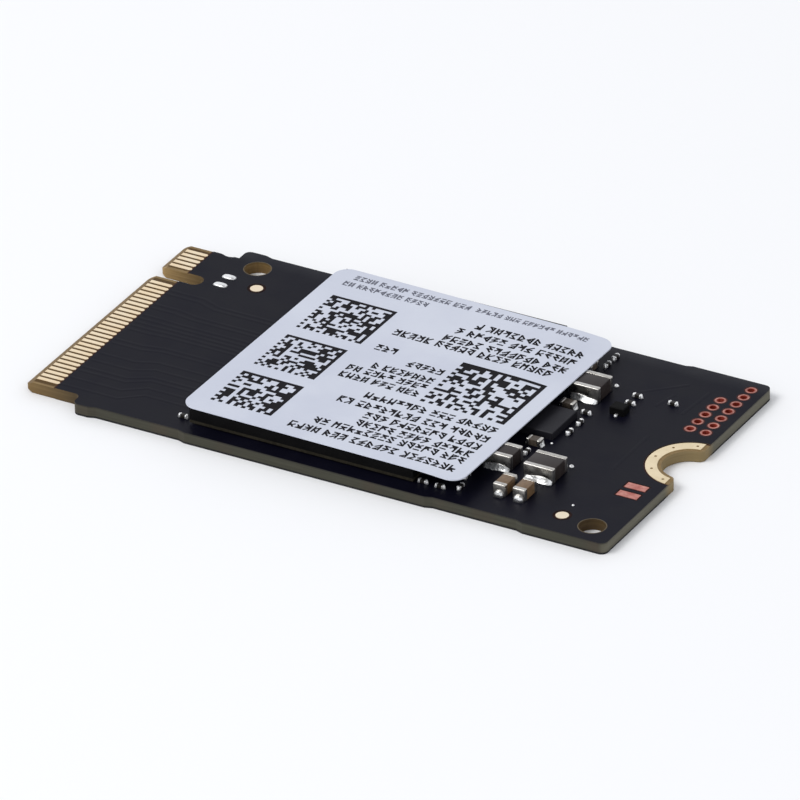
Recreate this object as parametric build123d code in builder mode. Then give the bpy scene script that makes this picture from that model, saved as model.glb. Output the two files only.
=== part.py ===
from build123d import *
import os
from math import cos, floor, radians, sin

os.makedirs("parts", exist_ok=True)

# Gumstick solid state drive: a keyed card with one flash package, a skewed label and a small power stage.
# Millimetres. X runs from the card edge to the screw notch, Y across, Z up from the under face of the board.
# The origin is under the middle of the board.

# Board
board_length = 42.0
board_thickness = 0.8
tongue_width = 19.85
tongue_length = 4.0
shoulder_width = 1.075
copper_thickness = 0.035
mask_gap = 0.1

# Corners of the board's outline
tongue_corner_radius = 0.25
shoulder_inner_radius = 0.4
shoulder_outer_radius = 0.42
shoulder_relief_radius = 0.75
shoulder_relief_dip = 0.15
shoulder_relief_blend = 0.8
end_corner_radius = 0.45

# Runs of the long edges that stand back, where the card was broken out of its panel
edge_step = 0.16
edge_step_run = 0.5
far_recess_start = 5.4
far_recess_end_gap = 5.6
near_front_recess_start = 5.1
near_front_recess_length = 7.0
near_back_recess_length = 6.9
near_back_recess_end_gap = 5.8

# Card edge
bare_length = 2.12
bevel_length = 0.45
bevel_drop = 0.22
key_slot_y = 6.125
key_slot_width = 1.2
key_slot_depth = 3.5
key_mouth_radius = 0.4
key_clear = 1.0
contact_pitch = 0.5
contact_width = 0.31
contact_front_gap = 0.02
contact_back_gap = 0.06
contact_corner = 0.1
contact_side_margin = 0.5

# Screw notch and its half-ring pads
notch_radius = 1.75
notch_mouth_radius = 0.45
screw_pad_radius = 2.75
screw_pad_setback = 0.25
screw_pad_end_gap = 0.27
screw_pad_via_diameter = 0.2
screw_pad_via_sides = 6
screw_pad_via_count = 5
screw_pad_via_step = 37.3

# Tooling holes and round alignment marks
tooling_hole_diameter = 1.8
front_tooling_from_card_edge = 5.75
front_tooling_from_far_edge = 1.75
back_tooling_from_end = 1.75
back_tooling_from_near_edge = 1.65
mark_diameter = 0.84
front_mark_from_card_edge = 6.96
front_mark_from_far_edge = 3.98
back_mark_from_end = 4.03
back_mark_from_near_edge = 1.96

# Copper test points beside the notch
test_hole_diameter = 0.45
test_pad_diameter = 0.75
test_ring_sides = 16
test_pitch = 1.0
test_first_y = 4.0
test_outer_row_count = 7
test_outer_row_from_end = 0.98
test_inner_row_count = 5
test_inner_row_from_end = 2.09
test_bar_length = 1.45
test_bar_width = 0.62
test_bar_pitch = 1.07
test_bar_first_y = -3.9
test_bar_from_end = 1.6

# Solder-coated empty pads beside the key slot, single solder dots, and beads on the inductors' far pads
empty_pad_length = 1.0
empty_pad_width = 0.55
empty_pad_pitch = 1.12
empty_pad_rise = 0.12
empty_pad_round = 0.09
empty_pad_from_card_edge = 4.7
empty_pad_first_y = 6.32
solder_dot_diameter = 0.2
solder_dot_sides = 12
solder_dot_rise = 0.08
solder_dot_taper = 40.0
solder_bead_diameter = 0.36
solder_bead_rise = 0.14

# Flash package
package_length = 16.0
package_side_gap = 1.05
package_from_end = 14.1
package_y = 0.05
mould_thickness = 0.9
carrier_thickness = 0.2
ball_diameter = 0.5
ball_height = 0.12
ball_pitch = 2.5
ball_sides = 6
ball_margin = 1.0

# Label
label_thickness = 0.08
label_front_overhang = 0.49
label_back_overhang = 3.6
label_side_overhang = 0.055
label_bend_gap = 0.2
label_shift_y = -0.195
label_turn = -0.8
label_corner_radius = 1.0
label_rest_gap = 0.02

# Power chip
chip_length = 3.2
chip_width = 3.2
chip_height = 0.5
chip_edge_chamfer = 0.04
chip_from_end = 10.6
chip_y = 0.35

# Two-ended parts: size over the end caps, then the caps and the solder at each end
cap_wall = 0.02
solder_side_gap = 0.03
inductor_height = 1.05
large_inductor_length = 1.94
large_inductor_width = 2.1
short_inductor_length = 1.65
short_inductor_width = 2.0
inductor_cap_length = 0.36
inductor_cap_round = 0.06
inductor_solder_reach = 0.34
inductor_solder_rise = 0.42
tan_capacitor_length = 1.6
tan_capacitor_width = 0.88
tan_capacitor_height = 0.85
tan_cap_length = 0.34
tan_cap_round = 0.06
tan_solder_reach = 0.26
tan_solder_rise = 0.36
bypass_length = 1.0
bypass_width = 0.6
bypass_height = 0.5
bypass_cap_length = 0.25
bypass_solder_reach = 0.14
bypass_solder_rise = 0.36
chip_part_length = 0.6
chip_part_width = 0.32
chip_part_height = 0.26
chip_part_cap_length = 0.17
chip_part_solder_reach = 0.1
chip_part_solder_rise = 0.23

# Transistor
transistor_length = 1.0
transistor_width = 0.8
transistor_height = 0.55
transistor_edge_chamfer = 0.06
lead_width = 0.22
lead_thickness = 0.11
lead_reach = 0.14
lead_depth = 0.2
lead_spread = 0.6
lead_solder_reach = 0.12
lead_solder_rise = 0.1
transistor_from_end = 6.95
transistor_y = 3.72

# Lines and levels that the pieces share
board_width = tongue_width + 2 * shoulder_width
card_edge = -board_length / 2
screw_end = board_length / 2
far_edge = board_width / 2
near_edge = -board_width / 2
shoulder_x = card_edge + tongue_length
package_end = screw_end - package_from_end
package_start = package_end - package_length
package_width = board_width - 2 * package_side_gap
package_near = package_y - package_width / 2
package_far = package_y + package_width / 2
carrier_z = board_thickness + ball_height
mould_z = carrier_z + carrier_thickness
package_top = mould_z + mould_thickness
up = Vector(0, 0, 1)
on_seat = (Align.CENTER, Align.CENTER, Align.MIN)
top_face = Plane.XY.offset(board_thickness)

# Places of the two-ended parts: x, y and turn about Z
large_inductor_places = [
    (screw_end - 7.35, -5.13, 90),
    (screw_end - 9.69, 5.03, 90),
]
short_inductor_places = [
    (screw_end - 10.4, -5.08, 90),
]
tan_capacitor_places = [
    (screw_end - 8.6, -8.02, 90),
    (screw_end - 7.24, -7.98, 90),
]
bypass_places = [
    (screw_end - 9.72, -2.2, 0),
    (screw_end - 10.1, 2.82, 0),
    (screw_end - 11.15, 7.7, 90),
]
chip_part_places = [
    (package_start - 0.74, package_near + 0.5, 0),
    (package_end + 0.52, package_near + 0.35, 0),
    (screw_end - 12.34, package_near + 0.3, 0),
    (screw_end - 11.2, package_near + 0.86, 90),
    (screw_end - 11.5, package_near + 2.2, 90),
    (screw_end - 9.65, -3.38, 90),
    (screw_end - 8.47, 0.0, 90),
    (screw_end - 8.47, 1.34, 90),
    (screw_end - 8.7, 2.6, 0),
    (screw_end - 6.83, 4.92, 0),
    (screw_end - 6.85, 5.92, 0),
    (screw_end - 4.42, 6.1, 0),
    (screw_end - 10.43, package_far - 1.47, 90),
    (screw_end - 10.43, package_far - 0.38, 90),
]
solder_dot_places = [
    (screw_end - 4.0, near_edge + 3.3),
    (screw_end - 8.85, -1.62),
]
solder_bead_places = [
    (screw_end - 6.37, -3.58),
    (screw_end - 8.72, 6.56),
]


def contact_rows(count):
    """Y of each contact of a full row, less those that the key slot takes away."""
    rows = [contact_pitch * (i - (count - 1) / 2) for i in range(count)]
    return [y for y in rows if abs(y - key_slot_y) > key_clear]


def contact_faces(plane, count):
    """One row of card edge contacts, cut at their inner corners."""
    start = card_edge + bevel_length + contact_front_gap
    stop = card_edge + bare_length - contact_back_gap
    side = contact_width / 2
    with BuildSketch(plane) as faces:
        with Locations(*[(0, y) for y in contact_rows(count)]):
            Polygon(
                (start, -side),
                (stop - contact_corner, -side),
                (stop, contact_corner - side),
                (stop, side - contact_corner),
                (stop - contact_corner, side),
                (start, side),
                align=None,
            )
    return faces.sketch


def screw_pad_faces(plane):
    """The half ring round the screw notch, stopped short of the board's end."""
    with BuildSketch(plane) as faces:
        with Locations((screw_end, 0)):
            Circle(screw_pad_radius)
            Circle(notch_radius + screw_pad_setback, mode=Mode.SUBTRACT)
        with Locations((screw_end - screw_pad_end_gap, 0)):
            Rectangle(
                2 * screw_pad_radius,
                4 * screw_pad_radius,
                align=(Align.MIN, Align.CENTER),
                mode=Mode.SUBTRACT,
            )
    return faces.sketch


def screw_pad_opening(plane):
    """The bare half disc that a screw pad lies in, open to the notch and the board's end."""
    with BuildSketch(plane) as faces:
        with Locations((screw_end, 0)):
            Circle(screw_pad_radius + mask_gap)
    return faces.sketch


def screw_pad(plane, thickness):
    """A half-ring pad with its small via openings."""
    via_ring_radius = (screw_pad_radius + notch_radius + screw_pad_setback) / 2
    first_angle = 180 - screw_pad_via_step * (screw_pad_via_count - 1) / 2
    last_angle = screw_pad_via_step * (screw_pad_via_count - 1)
    faces = screw_pad_faces(plane)
    with BuildSketch(plane) as vias:
        with Locations((screw_end, 0)):
            with PolarLocations(via_ring_radius, screw_pad_via_count, first_angle, last_angle, endpoint=True):
                RegularPolygon(screw_pad_via_diameter / 2, screw_pad_via_sides)
    with BuildPart() as pad:
        extrude(faces, amount=thickness)
        extrude(vias.sketch, amount=thickness, mode=Mode.SUBTRACT)
    return pad


def mark_faces(grow=0.0):
    """The round alignment marks."""
    with BuildSketch(top_face) as faces:
        with Locations(*mark_places):
            Circle(mark_diameter / 2 + grow)
    return faces.sketch


def many_sided_faces(places, diameter, sides):
    """Small round spots on the board's top face, with few sides because there are many."""
    with BuildSketch(top_face) as faces:
        with Locations(*places):
            RegularPolygon(diameter / 2, sides)
    return faces.sketch


def bar_faces(grow=0.0):
    """The pair of copper bars."""
    with BuildSketch(top_face) as faces:
        with Locations(*test_bar_places):
            Rectangle(test_bar_length + 2 * grow, test_bar_width + 2 * grow)
    return faces.sketch


def solder_profile(origin, outward, reach, rise, hollow):
    """Solder slope that climbs an end face, hollow or straight, in the upright plane along outward."""
    with BuildSketch(Plane(origin=origin, x_dir=outward, z_dir=outward.cross(up))) as slope:
        with BuildLine():
            Line((0, 0), (reach, 0))
            if hollow:
                EllipticalCenterArc((reach, rise), reach, rise, start_angle=180, arc_size=90)
            else:
                Line((reach, 0), (0, rise))
            Line((0, rise), (0, 0))
        make_face()
    return slope.sketch


def end_capped_part(length, width, height, cap_length, reach, rise, cap_round=None):
    """Body, end caps and solder of one two-ended part that stands on the origin, with its ends along X."""
    with BuildPart() as body:
        with Locations((0, 0, cap_wall)):
            Box(length - 2 * cap_wall, width - 2 * cap_wall, height - 2 * cap_wall, align=on_seat)
    with BuildPart() as caps:
        for side in (-1, 1):
            with Locations((side * (length - cap_length) / 2, 0, 0)):
                Box(cap_length, width, height, align=on_seat)
        if cap_round:
            outer_faces = caps.faces().filter_by(Axis.X).sort_by(Axis.X)
            fillet(outer_faces[0].edges() + outer_faces[-1].edges(), cap_round)
        add(body.part, mode=Mode.SUBTRACT)
    outwards = [Vector(-1, 0, 0), Vector(1, 0, 0)]
    slopes = [solder_profile(outward * (length / 2), outward, reach, rise, cap_round) for outward in outwards]
    with BuildPart() as solder:
        for slope in slopes:
            extrude(slope, amount=width / 2 - (cap_round or solder_side_gap), both=True)
    return body.part, caps.part, solder.part


def placed(part, places):
    """Copies of one part seated on the board."""
    with BuildPart() as group:
        with Locations(*[Location((x, y, board_thickness), (0, 0, turn)) for x, y, turn in places]):
            add(part)
    return group


# Round features of the board
tooling_places = [
    (card_edge + front_tooling_from_card_edge, far_edge - front_tooling_from_far_edge),
    (screw_end - back_tooling_from_end, near_edge + back_tooling_from_near_edge),
]
mark_places = [
    (card_edge + front_mark_from_card_edge, far_edge - front_mark_from_far_edge),
    (screw_end - back_mark_from_end, near_edge + back_mark_from_near_edge),
]
test_rows = [
    (screw_end - test_outer_row_from_end, test_outer_row_count),
    (screw_end - test_inner_row_from_end, test_inner_row_count),
]
test_places = [(x, test_first_y + test_pitch * i) for x, count in test_rows for i in range(count)]
test_bar_places = [(screw_end - test_bar_from_end, test_bar_first_y - test_bar_pitch * i) for i in range(2)]

# Board outline: tongue, shoulders, broken-out edges, key slot, screw notch and holes
edge_recesses = [
    (1, card_edge + far_recess_start, screw_end - far_recess_end_gap),
    (
        -1,
        card_edge + near_front_recess_start,
        card_edge + near_front_recess_start + near_front_recess_length,
    ),
    (
        -1,
        screw_end - near_back_recess_end_gap - near_back_recess_length,
        screw_end - near_back_recess_end_gap,
    ),
]
with BuildSketch() as outline:
    Rectangle(board_length, board_width)
    for side in (-1, 1):
        with Locations((card_edge + tongue_length / 2, side * (tongue_width + shoulder_width) / 2)):
            Rectangle(tongue_length, shoulder_width, mode=Mode.SUBTRACT)
    for side, start, stop in edge_recesses:
        with BuildLine():
            Polyline(
                (start, side * far_edge),
                (start + edge_step_run, side * (far_edge - edge_step)),
                (stop - edge_step_run, side * (far_edge - edge_step)),
                (stop, side * far_edge),
                close=True,
            )
        make_face(mode=Mode.SUBTRACT)
    for side in (-1, 1):
        fillet(
            outline.vertices().sort_by_distance((card_edge, side * tongue_width / 2))[0],
            tongue_corner_radius,
        )
        fillet(outline.vertices().sort_by_distance((shoulder_x, side * far_edge))[0], shoulder_outer_radius)
        fillet(outline.vertices().sort_by_distance((screw_end, side * far_edge))[0], end_corner_radius)
    fillet(outline.vertices().sort_by_distance((shoulder_x, -tongue_width / 2))[0], shoulder_inner_radius)
    relief_y = tongue_width / 2 + shoulder_relief_radius - shoulder_relief_dip
    with Locations((shoulder_x - shoulder_relief_radius, relief_y)):
        Circle(shoulder_relief_radius, mode=Mode.SUBTRACT)
    relief_start = outline.vertices().sort_by_distance((shoulder_x - 2 * shoulder_relief_radius, tongue_width / 2))
    fillet(relief_start[0], shoulder_relief_blend)
    with Locations((card_edge + (key_slot_depth - key_slot_width / 2) / 2, key_slot_y)):
        Rectangle(key_slot_depth - key_slot_width / 2, key_slot_width, mode=Mode.SUBTRACT)
    with Locations((card_edge + key_slot_depth - key_slot_width / 2, key_slot_y)):
        Circle(key_slot_width / 2, mode=Mode.SUBTRACT)
    with Locations((screw_end, 0)):
        Circle(notch_radius, mode=Mode.SUBTRACT)
    for side in (-1, 1):
        key_mouth = (card_edge, key_slot_y + side * key_slot_width / 2)
        fillet(outline.vertices().sort_by_distance(key_mouth)[0], key_mouth_radius)
        fillet(outline.vertices().sort_by_distance((screw_end, side * notch_radius))[0], notch_mouth_radius)
    with Locations(*tooling_places):
        Circle(tooling_hole_diameter / 2, mode=Mode.SUBTRACT)
    with Locations(*test_places):
        RegularPolygon(test_pad_diameter / 2, test_ring_sides, mode=Mode.SUBTRACT)

# Flat copper on the board, and the mask openings that it lies in
alignment_faces = mark_faces()
test_pad_faces = many_sided_faces(test_places, test_pad_diameter, test_ring_sides)
test_hole_faces = many_sided_faces(test_places, test_hole_diameter, test_ring_sides)
test_bar_faces = bar_faces()
top_openings = [screw_pad_opening(top_face), mark_faces(mask_gap), bar_faces(mask_gap)]
under_opening = screw_pad_opening(Plane.XY)

# Board: the card edge is bare and lower by the copper, and its front is bevelled
with BuildPart() as circuit_board:
    extrude(outline.sketch, amount=board_thickness)
    for bare_z in (copper_thickness / 2, board_thickness - copper_thickness / 2):
        with Locations((card_edge + bare_length / 2, 0, bare_z)):
            Box(bare_length, board_width, copper_thickness, mode=Mode.SUBTRACT)
    with BuildSketch(Plane.XZ):
        for bare_z, inward in ((copper_thickness, 1), (board_thickness - copper_thickness, -1)):
            with BuildLine():
                Polyline(
                    (card_edge, bare_z),
                    (card_edge + bevel_length, bare_z),
                    (card_edge, bare_z + inward * bevel_drop),
                    close=True,
                )
            make_face()
    extrude(amount=board_width / 2, both=True, mode=Mode.SUBTRACT)
    for opening in top_openings:
        extrude(opening, amount=-copper_thickness, mode=Mode.SUBTRACT)
    extrude(under_opening, amount=copper_thickness, mode=Mode.SUBTRACT)

# Card edge contacts: the top row has one more place than the under row
top_contact_count = floor((tongue_width - 2 * contact_side_margin) / contact_pitch) + 1
top_contact_faces = contact_faces(top_face, top_contact_count)
under_contact_faces = contact_faces(Plane.XY, top_contact_count - 1)
with BuildPart() as edge_contacts_top:
    extrude(top_contact_faces, amount=-copper_thickness)
with BuildPart() as edge_contacts_under:
    extrude(under_contact_faces, amount=copper_thickness)

# Screw pads, alignment marks and test points
screw_pad_top = screw_pad(top_face, -copper_thickness)
screw_pad_under = screw_pad(Plane.XY, copper_thickness)
with BuildPart() as alignment_marks:
    extrude(alignment_faces, amount=-copper_thickness)
with BuildPart() as test_bars:
    extrude(test_bar_faces, amount=-copper_thickness)
with BuildPart() as test_rings:
    extrude(test_pad_faces, amount=-board_thickness)
    extrude(test_hole_faces, amount=-board_thickness, mode=Mode.SUBTRACT)

# Solder on empty pads, single dots and beads
with BuildPart() as empty_pad_solder:
    with Locations(
        *[
            (card_edge + empty_pad_from_card_edge, empty_pad_first_y + empty_pad_pitch * i, board_thickness)
            for i in range(2)
        ]
    ):
        Box(empty_pad_length, empty_pad_width, empty_pad_rise, align=on_seat)
    fillet(empty_pad_solder.faces().group_by(Axis.Z)[-1].edges(), empty_pad_round)
solder_dot_faces = many_sided_faces(solder_dot_places, solder_dot_diameter, solder_dot_sides)
solder_bead_faces = many_sided_faces(solder_bead_places, solder_bead_diameter, solder_dot_sides)
with BuildPart() as solder_dots:
    extrude(solder_dot_faces, amount=solder_dot_rise, taper=solder_dot_taper)
    extrude(solder_bead_faces, amount=solder_bead_rise, taper=solder_dot_taper)

# Flash package: moulded body on a thin carrier, held up by its solder balls
package_x = (package_start + package_end) / 2
with BuildPart() as flash_body:
    with Locations((package_x, package_y, mould_z)):
        Box(package_length, package_width, mould_thickness, align=on_seat)
with BuildPart() as flash_carrier:
    with Locations((package_x, package_y, carrier_z)):
        Box(package_length, package_width, carrier_thickness, align=on_seat)
ball_columns = floor((package_length - 2 * ball_margin) / ball_pitch) + 1
ball_rows = floor((package_width - 2 * ball_margin) / ball_pitch) + 1
with BuildPart() as flash_balls:
    with BuildSketch(top_face):
        with Locations((package_x, package_y)):
            with GridLocations(ball_pitch, ball_pitch, ball_columns, ball_rows):
                RegularPolygon(ball_diameter / 2, ball_sides)
    extrude(amount=ball_height)

# Label: flat on the package, its free end bending down towards the inductors
label_length = package_length + label_front_overhang + label_back_overhang
label_width = package_width + 2 * label_side_overhang
label_mid_x = package_start - label_front_overhang + label_length / 2
label_origin = Vector(label_mid_x, package_y + label_shift_y, package_top)
label_along = Vector(cos(radians(label_turn)), sin(radians(label_turn)), 0)
label_drop = package_top - board_thickness - inductor_height - label_rest_gap
with BuildPart() as label:
    label_front = -label_length / 2
    label_end = label_length / 2
    label_bend = label_end - label_back_overhang + label_bend_gap
    with BuildSketch(Plane(origin=label_origin, x_dir=label_along, z_dir=label_along.cross(up))):
        with BuildLine():
            for z in (0, label_thickness):
                Line((label_front, z), (label_bend, z))
                Spline(
                    (label_bend, z),
                    (label_end, z - label_drop),
                    tangents=((1, 0), (label_end - label_bend, -label_drop)),
                )
            Line((label_front, 0), (label_front, label_thickness))
            Line((label_end, -label_drop), (label_end, label_thickness - label_drop))
        make_face()
    extrude(amount=label_width / 2, both=True)
    with BuildSketch(Plane(origin=label_origin, x_dir=label_along, z_dir=up)):
        RectangleRounded(label_length, label_width, label_corner_radius)
    extrude(amount=package_top, both=True, mode=Mode.INTERSECT)

# Power chip
with BuildPart() as power_chip:
    with Locations((screw_end - chip_from_end, chip_y, board_thickness)):
        Box(chip_length, chip_width, chip_height, align=on_seat)
    chamfer(power_chip.faces().sort_by(Axis.Z)[-1].edges(), chip_edge_chamfer)

# Power inductors, ceramic capacitors and the smallest two-ended parts
large_inductor = end_capped_part(
    large_inductor_length,
    large_inductor_width,
    inductor_height,
    inductor_cap_length,
    inductor_solder_reach,
    inductor_solder_rise,
    inductor_cap_round,
)
short_inductor = end_capped_part(
    short_inductor_length,
    short_inductor_width,
    inductor_height,
    inductor_cap_length,
    inductor_solder_reach,
    inductor_solder_rise,
    inductor_cap_round,
)
tan_capacitor = end_capped_part(
    tan_capacitor_length,
    tan_capacitor_width,
    tan_capacitor_height,
    tan_cap_length,
    tan_solder_reach,
    tan_solder_rise,
    tan_cap_round,
)
bypass_capacitor = end_capped_part(
    bypass_length,
    bypass_width,
    bypass_height,
    bypass_cap_length,
    bypass_solder_reach,
    bypass_solder_rise,
)
chip_part = end_capped_part(
    chip_part_length,
    chip_part_width,
    chip_part_height,
    chip_part_cap_length,
    chip_part_solder_reach,
    chip_part_solder_rise,
)

# Transistor: one lead towards the near edge, two towards the far edge, cast into the body
lead_places = [(0, -1), (-lead_spread / 2, 1), (lead_spread / 2, 1)]
with BuildPart() as transistor_lead_set:
    for x, side in lead_places:
        with Locations((x, side * (transistor_width + lead_reach - lead_depth) / 2, 0)):
            Box(lead_width, lead_reach + lead_depth, lead_thickness, align=on_seat)
with BuildPart() as transistor_case:
    Box(transistor_length, transistor_width, transistor_height, align=on_seat)
    chamfer(transistor_case.faces().sort_by(Axis.Z)[-1].edges(), transistor_edge_chamfer)
    add(transistor_lead_set.part, mode=Mode.SUBTRACT)
lead_slopes = [
    solder_profile(
        Vector(x, side * (transistor_width / 2 + lead_reach), 0),
        Vector(0, side, 0),
        lead_solder_reach,
        lead_solder_rise,
        None,
    )
    for x, side in lead_places
]
with BuildPart() as transistor_solder_set:
    for slope in lead_slopes:
        extrude(slope, amount=lead_width / 2, both=True)
transistor_place = [(screw_end - transistor_from_end, transistor_y, 0)]

pieces = {
    "circuit_board": circuit_board,
    "edge_contacts_top": edge_contacts_top,
    "edge_contacts_under": edge_contacts_under,
    "screw_pad_top": screw_pad_top,
    "screw_pad_under": screw_pad_under,
    "alignment_marks": alignment_marks,
    "test_bars": test_bars,
    "test_rings": test_rings,
    "empty_pad_solder": empty_pad_solder,
    "solder_dots": solder_dots,
    "flash_body": flash_body,
    "flash_carrier": flash_carrier,
    "flash_balls": flash_balls,
    "label": label,
    "power_chip": power_chip,
    "transistor_body": placed(transistor_case.part, transistor_place),
    "transistor_leads": placed(transistor_lead_set.part, transistor_place),
    "transistor_solder": placed(transistor_solder_set.part, transistor_place),
}
two_ended = {
    "large_inductor": (large_inductor, large_inductor_places),
    "short_inductor": (short_inductor, short_inductor_places),
    "tan_capacitor": (tan_capacitor, tan_capacitor_places),
    "bypass_capacitor": (bypass_capacitor, bypass_places),
    "chip_part": (chip_part, chip_part_places),
}
for name, (parts, places) in two_ended.items():
    for suffix, part in zip(("bodies", "end_caps", "solder"), parts):
        pieces[f"{name}_{suffix}"] = placed(part, places)

for node, piece in pieces.items():
    piece.part.label = node
    export_step(piece.part, f"parts/{node}.step")
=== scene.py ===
import math
import random

import bmesh
import bpy
from mathutils import Matrix, Vector
from mathutils.bvhtree import BVHTree


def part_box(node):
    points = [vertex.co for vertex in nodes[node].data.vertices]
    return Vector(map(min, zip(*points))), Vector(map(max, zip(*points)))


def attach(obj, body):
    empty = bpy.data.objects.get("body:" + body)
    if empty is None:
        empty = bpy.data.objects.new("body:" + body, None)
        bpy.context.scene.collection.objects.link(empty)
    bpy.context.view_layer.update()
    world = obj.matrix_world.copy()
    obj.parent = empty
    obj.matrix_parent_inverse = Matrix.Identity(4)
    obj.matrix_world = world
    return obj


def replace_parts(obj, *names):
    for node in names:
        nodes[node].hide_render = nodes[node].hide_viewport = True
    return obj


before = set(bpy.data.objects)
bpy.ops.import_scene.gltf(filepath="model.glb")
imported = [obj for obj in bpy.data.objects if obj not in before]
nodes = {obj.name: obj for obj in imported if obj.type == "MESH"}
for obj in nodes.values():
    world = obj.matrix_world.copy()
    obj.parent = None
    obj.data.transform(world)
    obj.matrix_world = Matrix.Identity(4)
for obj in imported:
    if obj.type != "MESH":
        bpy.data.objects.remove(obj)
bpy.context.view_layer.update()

MM = 0.001
UP = Vector((0, 0, 1))

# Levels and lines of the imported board
BOARD_LOW, BOARD_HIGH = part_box("circuit_board")
BOARD_TOP = BOARD_HIGH.z
CARD_EDGE = BOARD_LOW.x
SCREW_END = BOARD_HIGH.x
CONTACT_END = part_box("edge_contacts_top")[1].x
NOTCH = Vector((SCREW_END, 0, 0))
TONGUE_SIDE = 9.925 * MM
KEY_SLOT_Y = 6.125 * MM
TOOLING_HOLES = ((-15.25 * MM, 9.25 * MM), (19.25 * MM, -9.35 * MM))
NEAR_TOOLING_HOLE = TOOLING_HOLES[1]
TOOLING_RADIUS = 0.9 * MM

# Camera: seen from the near long edge and the screw end
CAMERA_AZIMUTH = math.radians(30.045)
CAMERA_ELEVATION = math.radians(29.787)
CAMERA_ROLL = math.radians(-1.2695)
CAMERA_DISTANCE = 786.53 * MM
CAMERA_LENS = 564.1
CAMERA_SENSOR = 36.0
CAMERA_CLIP = 10 * MM
CAMERA_SIDE = 0.3468 * MM
CAMERA_RISE = -0.7921 * MM
CAMERA_TARGET = Vector((0, 0, BOARD_TOP))


# Node helpers

def new_material(name):
    """A material and its shader node."""
    made = bpy.data.materials.new(name)
    made.use_nodes = True
    return made, made.node_tree.nodes["Principled BSDF"]


def add_node(tree, kind, inputs=None, **settings):
    """A node with its settings, its plain inputs set and its linked inputs joined."""
    node = tree.nodes.new(kind)
    for key, value in settings.items():
        setattr(node, key, value)
    for key, value in (inputs or {}).items():
        if isinstance(value, bpy.types.NodeSocket):
            tree.links.new(value, node.inputs[key])
        else:
            node.inputs[key].default_value = value
    return node


def place(tree):
    """Coordinates that ride with the object, in metres."""
    return add_node(tree, "ShaderNodeTexCoord").outputs["Object"]


def stretched(tree, scale):
    """Those coordinates with a scale of their own along each axis."""
    return add_node(tree, "ShaderNodeMapping", {"Vector": place(tree), "Scale": scale}).outputs["Vector"]


def noise(tree, vector, scale, detail=3.0, roughness=0.55):
    """Grey noise."""
    inputs = {"Vector": vector, "Scale": scale, "Detail": detail, "Roughness": roughness}
    return add_node(tree, "ShaderNodeTexNoise", inputs).outputs["Fac"]


def between(tree, value, low, high, to_low=0.0, to_high=1.0, smooth=True):
    """A value taken from one range to another, and held at its ends."""
    inputs = {"Value": value, "From Min": low, "From Max": high, "To Min": to_low, "To Max": to_high}
    kind = "SMOOTHSTEP" if smooth else "LINEAR"
    return add_node(tree, "ShaderNodeMapRange", inputs, interpolation_type=kind).outputs["Result"]


def within(tree, value, reach):
    """One up to the start of a reach, nothing past its end."""
    return between(tree, value, *reach, 1.0, 0.0)


def blend_colours(tree, factor, first, second):
    """Two colours, each plain or a link, mixed."""
    mixed = add_node(tree, "ShaderNodeMix", {0: factor}, data_type="RGBA")
    for socket, value in ((mixed.inputs[6], first), (mixed.inputs[7], second)):
        if isinstance(value, bpy.types.NodeSocket):
            tree.links.new(value, socket)
        else:
            socket.default_value = (*value, 1)
    return mixed.outputs[2]


def maths(tree, operation, first, second=0.0):
    """One sum on two values."""
    return add_node(tree, "ShaderNodeMath", {0: first, 1: second}, operation=operation).outputs[0]


def distance_from(tree, point):
    """Distance in plan from an upright axis through a point."""
    in_plan = {0: place(tree), 1: (1, 1, 0)}
    flat = add_node(tree, "ShaderNodeVectorMath", in_plan, operation="MULTIPLY").outputs[0]
    inputs = {0: flat, 1: (point[0], point[1], 0)}
    return add_node(tree, "ShaderNodeVectorMath", inputs, operation="DISTANCE").outputs["Value"]


def axis_of(tree, axis):
    """One coordinate of the place."""
    return add_node(tree, "ShaderNodeSeparateXYZ", {0: place(tree)}).outputs[axis]


def distance_from_slot(tree):
    """Distance from the key slot's middle line."""
    return maths(tree, "ABSOLUTE", maths(tree, "SUBTRACT", axis_of(tree, "Y"), KEY_SLOT_Y))


def relief(tree, height, depth, strength=1.0):
    """A bump node with a real depth in metres."""
    return add_node(tree, "ShaderNodeBump", {"Height": height, "Distance": depth, "Strength": strength})


def set_bump(tree, shader, *bumps):
    """Bump nodes on a shader, each laid over the next."""
    over = shader
    for bump in bumps:
        tree.links.new(bump.outputs["Normal"], over.inputs["Normal"])
        over = bump


def plain(shader, **values):
    """Uniform values, set on the shader's own sockets."""
    for key, value in values.items():
        shader.inputs[key.replace("_", " ")].default_value = value


# Tones of the board and label, dark and light, and one colour where a tone is even
# The mask's own colour is near black; the blue in these tones is a painted sheen of bluish reflection
MASK_TONES = ((0.0028, 0.0027, 0.0072), (0.0042, 0.0041, 0.0098))
LAMINATE_TONES = {
    "golden": ((0.105, 0.058, 0.014), (0.230, 0.150, 0.058)),
    "by_notch": ((0.150, 0.104, 0.040), (0.285, 0.214, 0.105)),
    "in_slot": ((0.215, 0.125, 0.036), (0.410, 0.280, 0.120)),
    "tongue_root": ((0.030, 0.019, 0.007), (0.060, 0.042, 0.020)),
    # Painted shade: the near tooling hole's wall is darker than the same laminate elsewhere
    "near_hole_painted_shade": ((0.048, 0.026, 0.007), (0.110, 0.070, 0.027)),
    "olive": ((0.026, 0.025, 0.016), (0.062, 0.060, 0.041)),
    # Paler olive at the screw end is painted light on that end wall
    "screw_end": ((0.075, 0.069, 0.046), (0.140, 0.131, 0.096)),
}
OLIVE_PATCH = (0.064, 0.040, 0.026)
# Dark colour for a band along the lower arris and for painted shade under the upper arris of masked walls
ARRIS_DARK_AND_SHADE = (0.006, 0.006, 0.006)
BARE_BROWN = ((0.062, 0.031, 0.008), (0.110, 0.064, 0.020))
BARE_GOLDEN = ((0.170, 0.105, 0.038), (0.270, 0.190, 0.090))
BARE_RED = (0.034, 0.007, 0.005)
LABEL_TONES = ((0.550, 0.575, 0.662), (0.604, 0.630, 0.706))

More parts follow.
